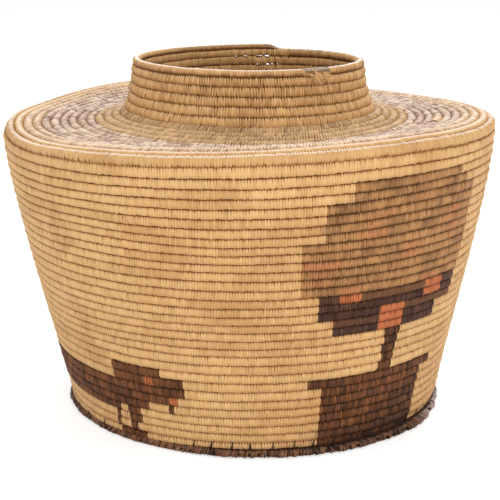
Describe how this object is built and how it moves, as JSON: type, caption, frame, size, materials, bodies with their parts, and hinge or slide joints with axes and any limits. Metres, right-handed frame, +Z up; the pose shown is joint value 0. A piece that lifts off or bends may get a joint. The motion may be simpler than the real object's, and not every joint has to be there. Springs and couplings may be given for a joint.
{
  "type": "coiled basket",
  "caption": "Coiled storage basket with a flaring wall, wide flat shoulder, short open neck and dyed tree and animal figures.",
  "frame": {"origin": "centre of the basket's bounding box, on the flat under the foot ring", "axes": "+Z up through the mouth, -Y towards the side with the tree on its right and the animal on its left, +X to the right of that side"},
  "size_m": [0.3995, 0.3997, 0.2887],
  "materials": {
    "natural_strand": "matte plant fibre with a slight sheen",
    "mottled_strand": "matte plant fibre, greyed",
    "brown_strand": "matte plant fibre, mottled brown",
    "dark_strand": "matte plant fibre, dark brown",
    "orange_strand": "matte plant fibre, dyed orange",
    "bare_core": "bare grass bundle, weathered grey"
  },
  "bodies": {
    "root": {"start_knot": "natural_strand", "base_coil": "natural_strand", "foot_ring": "dark_strand", "wall_lower_coil": "natural_strand", "wall_middle_coil": "natural_strand", "wall_upper_coil": "natural_strand", "shoulder_outer_coil": "natural_strand", "shoulder_mottled_coil": "mottled_strand", "shoulder_inner_coil": "natural_strand", "neck_coil": "natural_strand", "rim_coil": "natural_strand", "bare_core": "bare_core", "frayed_tuft": "natural_strand", "loose_strand_lower": "natural_strand", "loose_strand_upper": "natural_strand", "tree_canopy": "brown_strand", "tree_branches": "dark_strand", "tree_fruit_left": "orange_strand", "tree_fruit_middle": "orange_strand", "tree_fruit_right": "orange_strand", "tree_trunk": "dark_strand", "tree_pot": "dark_strand", "animal_body": "dark_strand", "animal_eye": "orange_strand", "animal_tongue": "orange_strand"}
  },
  "joints": []
}
